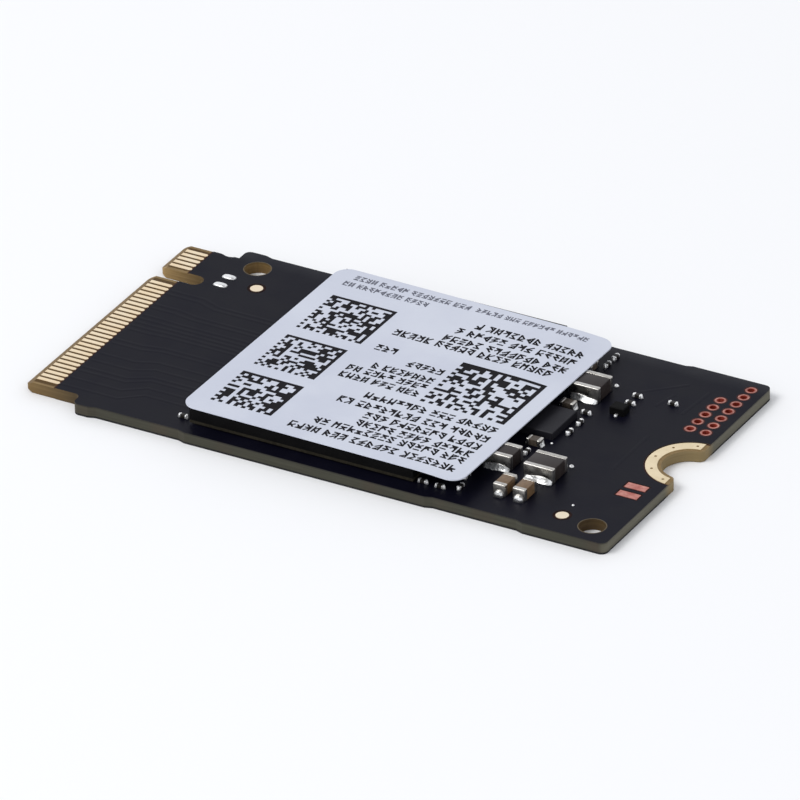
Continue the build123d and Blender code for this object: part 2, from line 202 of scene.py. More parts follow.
# Reaches over which one tone of the board gives way to another, and how strong or deep a change is
MASK_THINNING_RUN = (BOARD_HIGH.y - 1.4 * MM, BOARD_HIGH.y)
MASK_THINNING = 0.11 * MM
NOTCH_KHAKI = (3.4 * MM, 4.0 * MM)
NOTCH_BARE = (2.3 * MM, 3.4 * MM)
NOTCH_RIM = (2.68 * MM, 2.78 * MM)
SLOT_WALL = (0.7 * MM, 0.9 * MM)
SLOT_RIM = (0.80 * MM, 0.86 * MM)
HOLE_WALL = (1.0 * MM, 1.3 * MM)
TONGUE_BARE = (CARD_EDGE + 3.6 * MM, CARD_EDGE + 4.3 * MM)
TONGUE_DARKENING = (CARD_EDGE + 0.2 * MM, CARD_EDGE + 4.4 * MM)
TONGUE_RIM = (TONGUE_SIDE - 0.24 * MM, TONGUE_SIDE - 0.18 * MM)
CONTACT_FIELD = (CONTACT_END - 0.10 * MM, CONTACT_END - 0.02 * MM)
# Painted light: over this reach the masked cut laminate turns paler towards the screw end
SCREW_END_PAINTED_LIGHT = (SCREW_END - 0.5 * MM, SCREW_END - 0.05 * MM)
LOWER_ARRIS = (0.10 * MM, 0.17 * MM)
# Painted shade in a band under the upper arris, and how strong it is
UPPER_ARRIS = (BOARD_TOP - 0.14 * MM, BOARD_TOP - 0.03 * MM)
UPPER_ARRIS_PAINTED_SHADE = 0.6
OLIVE_PATCH_SHADE = 0.6


# Materials

def mask_material():
    """Black solder mask: satin, mottled, over the laminate's weave, thinning towards the far edge; the blue
    in its near-black base is a painted bluish sheen.
    """
    made, shader = new_material("solder_mask")
    tree = made.node_tree
    mottle = noise(tree, place(tree), 420.0, 4.0)
    colour = blend_colours(tree, between(tree, mottle, 0.3, 0.7), *MASK_TONES)
    tree.links.new(colour, shader.inputs["Base Color"])
    tree.links.new(between(tree, mottle, 0.25, 0.75, 0.34, 0.46), shader.inputs["Roughness"])
    weave = noise(tree, stretched(tree, (900, 5200, 900)), 1.0, 2.0)
    far = between(tree, axis_of(tree, "Y"), *MASK_THINNING_RUN, smooth=False)
    thinning = maths(tree, "SUBTRACT", 1.0, maths(tree, "POWER", far, 2.0))
    set_bump(tree, shader, relief(tree, weave, 0.004 * MM, 0.5), relief(tree, thinning, MASK_THINNING))
    plain(shader, IOR=1.163)
    return made


def bare_laminate_tone(tree, tones):
    """Cut laminate that no mask has run over: golden, with its own tones by notch and slot, and painted
    shade down the near tooling hole.
    """
    by_notch = within(tree, distance_from(tree, NOTCH), NOTCH_KHAKI)
    golden = blend_colours(tree, by_notch, tones["golden"], tones["by_notch"])
    in_slot = within(tree, distance_from_slot(tree), SLOT_WALL)
    on_tongue = blend_colours(tree, in_slot, golden, tones["in_slot"])
    along = axis_of(tree, "X")
    inward = between(tree, along, *TONGUE_DARKENING, smooth=False)
    on_tongue = blend_colours(tree, inward, on_tongue, tones["tongue_root"])
    # Painted shade down the near tooling hole
    near_hole_painted_shade = within(tree, distance_from(tree, NEAR_TOOLING_HOLE), HOLE_WALL)
    golden = blend_colours(tree, near_hole_painted_shade, golden, tones["near_hole_painted_shade"])
    return blend_colours(tree, within(tree, along, TONGUE_BARE), golden, on_tongue)


def masked_laminate_tone(tree, tones):
    """Cut laminate that mask has run over: patchy olive, with painted light that makes it paler at the
    screw end.
    """
    cloud = noise(tree, stretched(tree, (260, 260, 60)), 1.0, 2.0)
    patches = between(tree, cloud, 0.5, 0.75, 0.0, OLIVE_PATCH_SHADE)
    olive = blend_colours(tree, patches, tones["olive"], OLIVE_PATCH)
    # Painted light towards the screw end
    end = between(tree, axis_of(tree, "X"), *SCREW_END_PAINTED_LIGHT)
    return blend_colours(tree, end, olive, tones["screw_end"])


def laminate_material():
    """Cut laminate: golden where it is bare, olive where mask has run over it, and there dark along the
    lower arris and darkened by painted shade under the upper arris.
    """
    made, shader = new_material("laminate")
    tree = made.node_tree
    layers = noise(tree, stretched(tree, (260, 260, 9000)), 1.0, 3.0)
    speckle = noise(tree, place(tree), 5200.0, 2.0)
    tones = {name: blend_colours(tree, layers, *pair) for name, pair in LAMINATE_TONES.items()}
    by_notch = within(tree, distance_from(tree, NOTCH), NOTCH_BARE)
    bare = maths(tree, "MAXIMUM", by_notch, within(tree, axis_of(tree, "X"), TONGUE_BARE))
    for hole in TOOLING_HOLES:
        bare = maths(tree, "MAXIMUM", bare, within(tree, distance_from(tree, hole), HOLE_WALL))
    colour = blend_colours(tree, bare, masked_laminate_tone(tree, tones), bare_laminate_tone(tree, tones))
    height = axis_of(tree, "Z")
    low = within(tree, height, LOWER_ARRIS)
    # Painted shade under the upper arris
    high = between(tree, height, *UPPER_ARRIS, 0.0, UPPER_ARRIS_PAINTED_SHADE)
    masked = maths(tree, "SUBTRACT", 1.0, bare)
    dark_band_and_shade = maths(tree, "MULTIPLY", maths(tree, "MAXIMUM", low, high), masked)
    tree.links.new(blend_colours(tree, dark_band_and_shade, colour, ARRIS_DARK_AND_SHADE), shader.inputs["Base Color"])
    set_bump(tree, shader, relief(tree, maths(tree, "ADD", layers, speckle), 0.006 * MM, 0.6))
    plain(shader, Roughness=0.62, IOR=1.35)
    return made


def bare_material():
    """Flat bare laminate: brown between the contacts, golden at cut edges, dark red by the mask."""
    made, shader = new_material("bare_laminate")
    tree = made.node_tree
    cloud = noise(tree, stretched(tree, (1800, 3600, 1800)), 1.0, 3.0)
    brown = blend_colours(tree, cloud, *BARE_BROWN)
    golden = blend_colours(tree, cloud, *BARE_GOLDEN)
    by_side = between(tree, maths(tree, "ABSOLUTE", axis_of(tree, "Y")), *TONGUE_RIM)
    by_slot = within(tree, distance_from_slot(tree), SLOT_RIM)
    by_notch = within(tree, distance_from(tree, NOTCH), NOTCH_RIM)
    cut = maths(tree, "MAXIMUM", maths(tree, "MAXIMUM", by_side, by_slot), by_notch)
    tongue = within(tree, axis_of(tree, "X"), CONTACT_FIELD)
    open_land = maths(tree, "MAXIMUM", tongue, by_notch)
    colour = blend_colours(tree, open_land, BARE_RED, blend_colours(tree, cut, brown, golden))
    tree.links.new(colour, shader.inputs["Base Color"])
    plain(shader, Roughness=0.5, IOR=1.2)
    return made


def metal_material(name, dark, light, roughness, scale, bump, metallic=1.0):
    """A plated or soldered metal with cloudy colour and fine relief."""
    made, shader = new_material(name)
    tree = made.node_tree
    cloud = noise(tree, place(tree), scale, 4.0)
    colour = blend_colours(tree, between(tree, cloud, 0.3, 0.7), dark, light)
    tree.links.new(colour, shader.inputs["Base Color"])
    gloss = between(tree, cloud, 0.25, 0.75, roughness * 0.8, roughness * 1.2)
    tree.links.new(gloss, shader.inputs["Roughness"])
    set_bump(tree, shader, relief(tree, noise(tree, place(tree), scale * 3, 2.0), bump))
    plain(shader, Metallic=metallic)
    return made


def grain_material(name, dark, light, roughness, scale, bump, ior):
    """A moulded, fired or printed surface: fine speckle over a slow change of tone."""
    made, shader = new_material(name)
    tree = made.node_tree
    speckle = noise(tree, place(tree), scale, 2.0, 0.7)
    tone = noise(tree, place(tree), scale / 14, 2.0)
    factor = maths(tree, "ADD", maths(tree, "MULTIPLY", speckle, 0.6), maths(tree, "MULTIPLY", tone, 0.4))
    colour = blend_colours(tree, between(tree, factor, 0.3, 0.7), dark, light)
    tree.links.new(colour, shader.inputs["Base Color"])
    gloss = between(tree, speckle, 0.2, 0.8, roughness - 0.06, roughness + 0.06)
    tree.links.new(gloss, shader.inputs["Roughness"])
    set_bump(tree, shader, relief(tree, speckle, bump))
    plain(shader, IOR=ior)
    return made


def label_material():
    """Pale satin film with a faint cloud, fibre and slow waves."""
    made, shader = new_material("label_film")
    tree = made.node_tree
    cloud = noise(tree, place(tree), 170.0, 3.0)
    fibre = noise(tree, place(tree), 6500.0, 2.0)
    colour = blend_colours(tree, between(tree, cloud, 0.3, 0.7), *LABEL_TONES)
    tree.links.new(colour, shader.inputs["Base Color"])
    tree.links.new(between(tree, fibre, 0.2, 0.8, 0.42, 0.56), shader.inputs["Roughness"])
    wave = noise(tree, stretched(tree, (130, 130, 130)), 1.0, 1.0)
    surface = maths(tree, "ADD", wave, maths(tree, "MULTIPLY", fibre, 0.03))
    set_bump(tree, shader, relief(tree, surface, 0.05 * MM, 0.5))
    plain(shader, IOR=1.3)
    return made


MASK = mask_material()
LAMINATE = laminate_material()
BARE = bare_material()
GOLD = metal_material(
    "contact_gold", (0.90, 0.71, 0.46), (0.97, 0.82, 0.59),
    roughness=0.34, scale=900.0, bump=0.002 * MM, metallic=0.9,
)
PAD_GOLD = metal_material(
    "pad_gold", (0.80, 0.66, 0.42), (0.93, 0.79, 0.54),
    roughness=0.38, scale=900.0, bump=0.002 * MM, metallic=0.9,
)
MARK_GOLD = metal_material(
    "mark_gold", (0.89, 0.75, 0.54), (0.96, 0.84, 0.64),
    roughness=0.36, scale=900.0, bump=0.002 * MM, metallic=0.9,
)
COPPER = metal_material(
    "ring_copper", (0.26, 0.075, 0.055), (0.56, 0.27, 0.22),
    roughness=0.42, scale=2400.0, bump=0.006 * MM, metallic=0.6,
)
# Painted shade: copper down the ring holes, darker and redder than the rings' own copper, as if in shadow
HOLE_COPPER_PAINTED_SHADE = metal_material(
    "hole_copper_painted_shade", (0.22, 0.018, 0.008), (0.46, 0.075, 0.045),
    roughness=0.5, scale=2400.0, bump=0.004 * MM, metallic=0.4,
)
BAR_COPPER = metal_material(
    "bar_copper", (0.42, 0.11, 0.085), (0.62, 0.28, 0.23),
    roughness=0.42, scale=2400.0, bump=0.004 * MM, metallic=0.6,
)
SOLDER = metal_material(
    "solder", (0.40, 0.40, 0.39), (0.93, 0.93, 0.92),
    roughness=0.27, scale=1500.0, bump=0.030 * MM, metallic=0.86,
)
BEAD = metal_material(
    "solder_bead", (0.78, 0.78, 0.77), (0.95, 0.95, 0.94),
    roughness=0.34, scale=1900.0, bump=0.002 * MM, metallic=0.72,
)
BLOB = metal_material(
    "solder_blob", (0.45, 0.45, 0.44), (0.95, 0.95, 0.94),
    roughness=0.20, scale=2300.0, bump=0.022 * MM, metallic=0.88,
)
TIN = metal_material(
    "tin_ends", (0.44, 0.42, 0.385), (0.62, 0.60, 0.56),
    roughness=0.30, scale=1700.0, bump=0.004 * MM,
)
MOULD = grain_material(
    "black_mould", (0.0030, 0.0029, 0.0030), (0.0064, 0.0061, 0.0062),
    roughness=0.5, scale=9000.0, bump=0.004 * MM, ior=1.12,
)
CHIP = grain_material(
    "chip_mould", (0.0125, 0.0122, 0.0156), (0.0168, 0.0164, 0.0204),
    roughness=0.42, scale=9000.0, bump=0.002 * MM, ior=1.23,
)
CARRIER = grain_material(
    "carrier", (0.014, 0.012, 0.008), (0.030, 0.026, 0.018),
    roughness=0.6, scale=6000.0, bump=0.004 * MM, ior=1.2,
)
FERRITE = grain_material(
    "ferrite", (0.017, 0.012, 0.011), (0.033, 0.025, 0.023),
    roughness=0.42, scale=7000.0, bump=0.003 * MM, ior=1.36,
)
TAN = grain_material(
    "tan_ceramic", (0.120, 0.068, 0.029), (0.198, 0.121, 0.060),
    roughness=0.42, scale=6000.0, bump=0.003 * MM, ior=1.5,
)
GREY_TAN = grain_material(
    "grey_ceramic", (0.050, 0.038, 0.028), (0.095, 0.075, 0.058),
    roughness=0.42, scale=6000.0, bump=0.003 * MM, ior=1.42,
)
DARK = grain_material(
    "dark_ceramic", (0.008, 0.007, 0.006), (0.020, 0.017, 0.015),
    roughness=0.45, scale=6000.0, bump=0.003 * MM, ior=1.3,
)
LABEL = label_material()
RED_RIM = grain_material(
    "mask_rim", (0.044, 0.012, 0.010), (0.075, 0.022, 0.018),
    roughness=0.5, scale=5000.0, bump=0.001 * MM, ior=1.15,
)
PALE_RIM = grain_material(
    "cut_rim", (0.078, 0.058, 0.032), (0.130, 0.102, 0.062),
    roughness=0.6, scale=5000.0, bump=0.001 * MM, ior=1.3,
)
MARK_RIM = grain_material(
    "mark_rim", (0.010, 0.005, 0.004), (0.020, 0.009, 0.007),
    roughness=0.5, scale=5000.0, bump=0.001 * MM, ior=1.1,
)
INK = grain_material(
    "ink", (0.0080, 0.0075, 0.0090), (0.0150, 0.0140, 0.0165),
    roughness=0.55, scale=5000.0, bump=0.001 * MM, ior=1.12,
)
PALE_INK = grain_material(
    "pale_ink", (0.115, 0.120, 0.150), (0.160, 0.165, 0.200),
    roughness=0.55, scale=5000.0, bump=0.001 * MM, ior=1.12,
)


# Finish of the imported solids

LEVEL_TOLERANCE = 0.01 * MM
LEVEL_NORMAL = 0.99
FINISHES = {
    GOLD: ("edge_contacts_top", "edge_contacts_under"),
    PAD_GOLD: ("screw_pad_top", "screw_pad_under"),
    MARK_GOLD: ("alignment_marks",),
    BAR_COPPER: ("test_bars",),
    SOLDER: ("flash_balls",),
    MOULD: ("flash_body", "transistor_body"),
    CHIP: ("power_chip",),
    CARRIER: ("flash_carrier",),
    LABEL: ("label",),
}


def dress(node, *materials):
    """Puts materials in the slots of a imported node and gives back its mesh."""
    mesh = nodes[node].data
    mesh.materials.clear()
    for material in materials:
        mesh.materials.append(material)
    return mesh


def dress_board():
    """Mask on the flat faces, bare laminate where the mask is open, cut laminate on every wall."""
    mesh = dress("circuit_board", MASK, LAMINATE, BARE)
    for face in mesh.polygons:
        level = face.center.z
        outer = level > BOARD_TOP - LEVEL_TOLERANCE or level < LEVEL_TOLERANCE
        if abs(face.normal.z) <= LEVEL_NORMAL:
            face.material_index = 1
        else:
            face.material_index = 0 if outer else 2


def dress_rings():
    """Worn copper on the flat of each ring, and down its hole the same copper darkened and reddened as
    painted shade.
    """
    mesh = dress("test_rings", COPPER, HOLE_COPPER_PAINTED_SHADE)
    for face in mesh.polygons:
        face.material_index = 0 if abs(face.normal.z) > LEVEL_NORMAL else 1


dress_board()
dress_rings()
for finish, members in FINISHES.items():
    for member in members:
        dress(member, finish)


# Mesh helpers

SAME_PLACE = 0.0005 * MM
LARGEST_ROUNDING = 0.45


def finished(name, bm, material, smooth=True):
    """A mesh object from a bmesh, riding with the board."""
    bmesh.ops.recalc_face_normals(bm, faces=bm.faces)
    mesh = bpy.data.meshes.new(name)
    bm.to_mesh(mesh)
    bm.free()
    for face in mesh.polygons:
        face.use_smooth = smooth
    mesh.materials.append(material)
    piece = bpy.data.objects.new(name, mesh)
    bpy.context.scene.collection.objects.link(piece)
    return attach(piece, "root")


def solids_of(node):
    """Lowest and highest corner of each separate solid of a node."""
    bm = bmesh.new()
    bm.from_mesh(nodes[node].data)
    bmesh.ops.remove_doubles(bm, verts=bm.verts, dist=SAME_PLACE)
    left = set(bm.verts)
    boxes = []
    while left:
        front = [left.pop()]
        members = list(front)
        while front:
            vert = front.pop()
            for edge in vert.link_edges:
                other = edge.other_vert(vert)
                if other in left:
                    left.remove(other)
                    front.append(other)
                    members.append(other)
        low = Vector(tuple(min(v.co[i] for v in members) for i in range(3)))
        high = Vector(tuple(max(v.co[i] for v in members) for i in range(3)))
        boxes.append((low, high))
    bm.free()
    return sorted(boxes, key=lambda box: tuple(box[0]))


def bridge(bm, first, second):
    """Faces between two closed rows with as many points."""
    count = len(first)
    for j in range(count):
        k = (j + 1) % count
        bm.faces.new((first[j], first[k], second[k], second[j]))


def skin(bm, sections):
    """Faces along a run of closed sections, with both ends closed."""
    for first, second in zip(sections, sections[1:]):
        bridge(bm, first, second)
    bm.faces.new(sections[0])
    bm.faces.new(reversed(sections[-1]))


def add_rounded_box(bm, low, high, radius, segments=3):
    """A box with rounded edges and corners."""
    size = high - low
    made = bmesh.ops.create_cube(bm, size=1.0)
    bmesh.ops.scale(bm, vec=size, verts=made["verts"])
    bmesh.ops.translate(bm, vec=(low + high) / 2, verts=made["verts"])
    edges = {edge for vert in made["verts"] for edge in vert.link_edges}
    bmesh.ops.bevel(
        bm,
        geom=list(edges),
        offset=min(radius, LARGEST_ROUNDING * min(size)),
        segments=segments,
        profile=0.5,
        affect="EDGES",
    )


def outward_of(box, bodies):
    """Level direction from the nearest body to a small solid at its end."""
    middle = (box[0] + box[1]) / 2
    centres = [(low + high) / 2 for low, high in bodies]
    nearest = min(centres, key=lambda centre: (centre - middle).length)
    away = middle - nearest
    if abs(away.x) > abs(away.y):
        return Vector((math.copysign(1, away.x), 0, 0))
    return Vector((0, math.copysign(1, away.y), 0))


# Solder: hollow slopes with wavy toes and tops, and round beads

# Toe waves are pairs of rate and swing, powers bend a curve, and the rest are shares of a slope
SOLDER_RNG = random.Random(11)
SOLDER_SWAY = 0.16
SOLDER_TOE_WAVES = ((2.1, 1.0), (5.3, 0.7))
SOLDER_TOE_SWAY = 0.55
SOLDER_TOP_WAVE = 2.7
SOLDER_SIDE_REACH = 0.2
SOLDER_SIDE_POWER = 5
SOLDER_SIDE_ROUNDING = 0.4
SOLDER_SIDE_HEIGHT = 0.6
SOLDER_TOE = 0.16
SOLDER_TOE_POWER = 6
SOLDER_HOLLOW = 1.7

# Beads and blobs
BEAD_OVERLAP = 0.15 * MM
BEAD_CROWN = 0.045 * MM
BEAD_FULLNESS = 2.2
BLOB_FULLNESS = 4.0
ROUND_PLAN = 2.0


def add_solder_fillet(bm, box, outward, across=14, along=9):
    """A hollow solder slope up an end face, rounded in plan, with an uneven toe."""
    low, high = box
    side = UP.cross(outward)
    size = high - low
    reach = abs(size.dot(outward))
    width = abs(size.dot(side))
    foot = (low + high) / 2 - outward * reach / 2
    foot.z = low.z
    *toe_phases, top_phase = [SOLDER_RNG.uniform(0, 2 * math.pi) for _ in range(3)]
    sections = []
    for i in range(across + 1):
        share = 2 * i / across - 1
        rounded = (1 - abs(share) ** SOLDER_SIDE_POWER) ** SOLDER_SIDE_ROUNDING
        plan = max(SOLDER_SIDE_REACH, rounded)
        waves = zip(SOLDER_TOE_WAVES, toe_phases)
        ripple = sum(swing * math.sin(rate * share + phase) for (rate, swing), phase in waves)
        spread = 1 - SOLDER_SWAY * (1 + SOLDER_TOE_SWAY * ripple)
        climb = 1 - SOLDER_SWAY * (1 + math.sin(SOLDER_TOP_WAVE * share + top_phase))
        shoulder = SOLDER_SIDE_HEIGHT + (1 - SOLDER_SIDE_HEIGHT) * plan
        start = foot + side * (share * width / 2)
        section = [bm.verts.new(start)]
        for j in range(along + 1):
            step = j / along
            hollow = (1 - step) ** SOLDER_HOLLOW
            slope = (1 - SOLDER_TOE) * hollow + SOLDER_TOE * (1 - step ** SOLDER_TOE_POWER)
            point = start + outward * (reach * plan * spread * step)
            point.z += size.z * climb * shoulder * slope
            section.append(bm.verts.new(point))
        sections.append(section)
    skin(bm, sections)


def add_mound(bm, low, high, power, fullness, around=28, steps=6):
    """A solder mound on a pad: rounded in plan and domed."""
    middle = (low + high) / 2
    half = (high - low) / 2
    rings = []
    for i in range(steps):
        share = 1 - i / steps
        level = low.z + (high.z - low.z) * (1 - share ** fullness)
        ring = []
        for j in range(around):
            angle = 2 * math.pi * j / around
            c, s = math.cos(angle), math.sin(angle)
            stretch = share / (abs(c) ** power + abs(s) ** power) ** (1 / power)
            spot = (middle.x + half.x * c * stretch, middle.y + half.y * s * stretch, level)
            ring.append(bm.verts.new(spot))
        rings.append(ring)
    top = bm.verts.new((middle.x, middle.y, high.z))
    bm.faces.new(reversed(rings[0]))
    for first, second in zip(rings, rings[1:]):
        bridge(bm, first, second)
    for j in range(around):
        bm.faces.new((rings[-1][j], rings[-1][(j + 1) % around], top))


def add_solder_bead(bm, box, outward, fullness=BEAD_FULLNESS):
    """A round bead of solder that wets the end of a small part, from a little inside its end to the toe."""
    low, high = box
    inward = -outward * BEAD_OVERLAP
    low = Vector((low.x + min(inward.x, 0), low.y + min(inward.y, 0), low.z))
    high = Vector((high.x + max(inward.x, 0), high.y + max(inward.y, 0), high.z + BEAD_CROWN))
    add_mound(bm, low, high, ROUND_PLAN, fullness)


def add_solder_blob(bm, box, outward):
    """A fuller bead, close to half a ball."""
    add_solder_bead(bm, box, outward, BLOB_FULLNESS)


# Small parts and their solder

LEAD_RADIUS = 0.035 * MM
CAP_SEGMENTS = 4


def dress_mounds(node, power, fullness):
    """Domed solder in place of each plain pad of solder."""
    bm = bmesh.new()
    for low, high in solids_of(node):
        add_mound(bm, low, high, power, fullness)
    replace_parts(finished(f"{node}_mounds", bm, BEAD), node)


def dress_transistor_feet():
    """Rounded leads and solder beads of the transistor."""
    case = solids_of("transistor_body")
    bm = bmesh.new()
    for low, high in solids_of("transistor_leads"):
        add_rounded_box(bm, low, high, LEAD_RADIUS)
    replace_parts(finished("transistor_lead_set", bm, BEAD), "transistor_leads")
    bm = bmesh.new()
    for box in solids_of("transistor_solder"):
        add_solder_bead(bm, box, outward_of(box, case))
    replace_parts(finished("transistor_solder_set", bm, BEAD), "transistor_solder")


def dress_two_ended(kind, looks, body_radius, cap_radius, add_solder=add_solder_fillet):
    """Rounded body, end caps and solder of every two-ended part of one kind."""
    body_material, cap_material, solder = looks
    bodies = solids_of(f"{kind}_bodies")
    bm = bmesh.new()
    for low, high in bodies:
        add_rounded_box(bm, low, high, body_radius)
    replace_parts(finished(f"{kind}_body_set", bm, body_material), f"{kind}_bodies")
    bm = bmesh.new()
    for low, high in solids_of(f"{kind}_end_caps"):
        add_rounded_box(bm, low, high, cap_radius, CAP_SEGMENTS)
    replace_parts(finished(f"{kind}_end_cap_set", bm, cap_material), f"{kind}_end_caps")
    bm = bmesh.new()
    for box in solids_of(f"{kind}_solder"):
        add_solder(bm, box, outward_of(box, bodies))
    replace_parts(finished(f"{kind}_solder_set", bm, solder), f"{kind}_solder")


dress_two_ended("large_inductor", (FERRITE, TIN, SOLDER), body_radius=0.05 * MM, cap_radius=0.07 * MM)
dress_two_ended("short_inductor", (FERRITE, TIN, SOLDER), body_radius=0.05 * MM, cap_radius=0.07 * MM)
dress_two_ended(
    "tan_capacitor", (TAN, TIN, BLOB),
    body_radius=0.04 * MM, cap_radius=0.07 * MM, add_solder=add_solder_blob,
)
dress_two_ended("bypass_capacitor", (GREY_TAN, TIN, SOLDER), body_radius=0.03 * MM, cap_radius=0.07 * MM)
dress_two_ended(
    "chip_part", (DARK, BEAD, BEAD),
    body_radius=0.02 * MM, cap_radius=0.075 * MM, add_solder=add_solder_bead,
)
dress_mounds("empty_pad_solder", power=3.2, fullness=4.5)
dress_mounds("solder_dots", power=ROUND_PLAN, fullness=2.6)
dress_transistor_feet()


# Rims round the holes and marks

RIM_HEIGHT = 0.004 * MM
RIM_SINK = 0.01 * MM
COPPER_RIM = 0.08 * MM
TEST_HOLE_RADIUS = 0.225 * MM
TEST_HOLE_LIP = 0.035 * MM
TOOLING_RIM_INSIDE = 0.035 * MM
TOOLING_RIM_OUTSIDE = 0.025 * MM
MARK_OPENING_RADIUS = 0.52 * MM
MARK_RIM_WIDTH = 0.09 * MM


def add_flat_ring(bm, centre, inner, outer, around):
    """A thin flat ring on the board's top face, with its outer edge eased."""
    base = Vector((centre[0], centre[1], BOARD_TOP))
    profile = (
        (inner, -RIM_SINK),
        (outer, -RIM_SINK),
        (outer, 0),
        (outer - RIM_HEIGHT, RIM_HEIGHT),
        (inner, RIM_HEIGHT),
    )
    sections = []
    for i in range(around):
        angle = 2 * math.pi * i / around
        out = Vector((math.cos(angle), math.sin(angle), 0))
        sections.append([bm.verts.new(base + out * radius + UP * level) for radius, level in profile])
    for i, first in enumerate(sections):
        bridge(bm, first, sections[(i + 1) % around])


def lay_rings(name, material, rings, around=36):
    """One piece of flat rings, each given by its centre and its inner and outer radius."""
    bm = bmesh.new()
    for centre, inner, outer in rings:
        add_flat_ring(bm, centre, inner, outer, around)
    finished(name, bm, material, smooth=False)


def lay_rims():
    """Dark red rims on the copper rings, lips that carry the holes' painted shade, pale rims on tooling
    holes, dark ones on marks.
    """
    tests = [((low + high) / 2, (high.x - low.x) / 2) for low, high in solids_of("test_rings")]
    marks = [(low + high) / 2 for low, high in solids_of("alignment_marks")]
    lip = TEST_HOLE_RADIUS + TEST_HOLE_LIP
    inside = TOOLING_RADIUS - TOOLING_RIM_INSIDE
    outside = TOOLING_RADIUS + TOOLING_RIM_OUTSIDE
    mark_rim = MARK_OPENING_RADIUS + MARK_RIM_WIDTH
    rims = [(middle, radius, radius + COPPER_RIM) for middle, radius in tests]
    lay_rings("copper_ring_rims", RED_RIM, rims)
    # Lips at the hole mouths carry the holes' painted shade
    lips = [(middle, TEST_HOLE_RADIUS, lip) for middle, _ in tests]
    lay_rings("copper_hole_lips_painted_shade", HOLE_COPPER_PAINTED_SHADE, lips)
    rims = [(hole, inside, outside) for hole in TOOLING_HOLES]
    lay_rings("tooling_hole_rims", PALE_RIM, rims, around=64)
    rims = [(middle, MARK_OPENING_RADIUS, mark_rim) for middle in marks]
    lay_rings("alignment_mark_rims", MARK_RIM, rims, around=48)


lay_rims()


# Print on the label

LABEL_TURN = math.radians(-0.8)
LABEL_LOW, LABEL_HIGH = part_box("label")
PRINT_SHIFT = Vector((0.085 * MM, 0.095 * MM, 0))
PRINT_MIDDLE = ((LABEL_LOW + LABEL_HIGH) / 2).to_2d().to_3d() + PRINT_SHIFT
LABEL_FRAME = Matrix.Translation(PRINT_MIDDLE) @ Matrix.Rotation(LABEL_TURN, 4, "Z")
INK_HEIGHT = 0.006 * MM
INK_SINK = 0.004 * MM
PRINT_SEED = 42

# Places on the label in its own millimetres: where it bends, and the longest span of ink past there
LABEL_BEND = 6.0
INK_SPAN = 0.5

# Code blocks: low x and y, high x and y, cells a side, and the share of cells that are filled
CODE_BLOCKS = (
    (-8.75, 1.82, -4.02, 6.46, 20),
    (-8.70, -3.48, -4.31, 0.74, 18),
    (-8.78, -8.66, -4.36, -4.55, 16),
    (2.85, -2.62, 8.90, 2.89, 20),
)
CELLS_FILLED = 0.5

# Rows of print: low and high x, middle y, height of the marks
PRINT_ROWS = (
    (1.0, 9.0, 7.27, 0.74),
    (0.2, 9.0, 6.20, 0.74),
    (-0.3, 9.0, 5.10, 0.74),
    (-3.4, 8.4, 4.20, 0.74),
    (-3.4, -1.5, 2.02, 0.70),
    (-0.5, 2.4, 1.10, 0.70),
    (-2.3, 2.4, -0.10, 0.70),
    (-3.5, 2.4, -1.02, 0.70),
    (-3.3, 2.4, -1.95, 0.70),
    (-1.0, 8.9, -3.55, 0.74),
    (-2.1, 9.0, -4.70, 0.74),
    (0.2, 9.0, -5.75, 0.74),
    (0.0, 9.0, -6.78, 0.74),
    (-2.2, 9.0, -7.70, 0.74),
    (-3.1, 9.0, -8.83, 0.74),
)
PALE_ROWS = (
    (-9.0, -0.2, 9.05, 0.55),
    (-9.0, -2.8, 8.15, 0.55),
    (0.25, 8.3, 9.1, 0.5),
)

# Fewest and most marks in the first word of a row and in the next ones
FIRST_WORD = (3, 7)
NEXT_WORDS = (3, 8)

# Marks of print: sizes as shares of their height, and strokes from end to end in shares of a mark's box
MARK_WIDTH = 0.60
MARK_GAP = 0.16
WORD_GAP = 0.35
STROKE_WIDTH = 0.17
STROKE_STEP_DOWN = 0.1
STRAIGHT_STROKES = (
    ((0, 0), (0, 1)),
    ((1, 0), (1, 1)),
    ((0, 0), (1, 0)),
    ((0, 0.5), (1, 0.5)),
    ((0, 1), (1, 1)),
)
SLANTED_STROKES = (
    ((0, 0.5), (1, 1)),
    ((0, 0), (1, 0.5)),
    ((1, 0), (0, 0.5)),
    ((1, 0.5), (0, 1)),
)


def label_surface():
    """The label's faces, ready to be searched."""
    bm = bmesh.new()
    bm.from_mesh(nodes["label"].data)
    surface = BVHTree.FromBMesh(bm)
    bm.free()
    return surface


LABEL_SURFACE = label_surface()


def on_label(x, y):
    """The point of the label's upper face over a place given in the label's own millimetres."""
    above = LABEL_FRAME @ Vector((x * MM, y * MM, 2 * LABEL_HIGH.z))
    return LABEL_SURFACE.ray_cast(above, -UP)[0]


def add_ink(bm, x0, y0, x1, y1):
    """A thin bar of ink, in short spans that follow the label's bend."""
    spans = max(1, math.ceil((x1 - x0) / INK_SPAN)) if x1 > LABEL_BEND else 1
    sections = []
    for i in range(spans + 1):
        x = x0 + (x1 - x0) * i / spans
        near, far = on_label(x, y0), on_label(x, y1)
        points = (near - UP * INK_SINK, far - UP * INK_SINK, far + UP * INK_HEIGHT, near + UP * INK_HEIGHT)
        sections.append([bm.verts.new(point) for point in points])
    skin(bm, sections)


def add_cells(bm, filled, x0, y0, step_x, step_y):
    """One row of cells, with each run of filled ones as one bar."""
    column = 0
    while column < len(filled):
        if not filled[column]:
            column += 1
            continue
        start = column
        while column < len(filled) and filled[column]:
            column += 1
        add_ink(bm, x0 + start * step_x, y0, x0 + column * step_x, y0 + step_y)


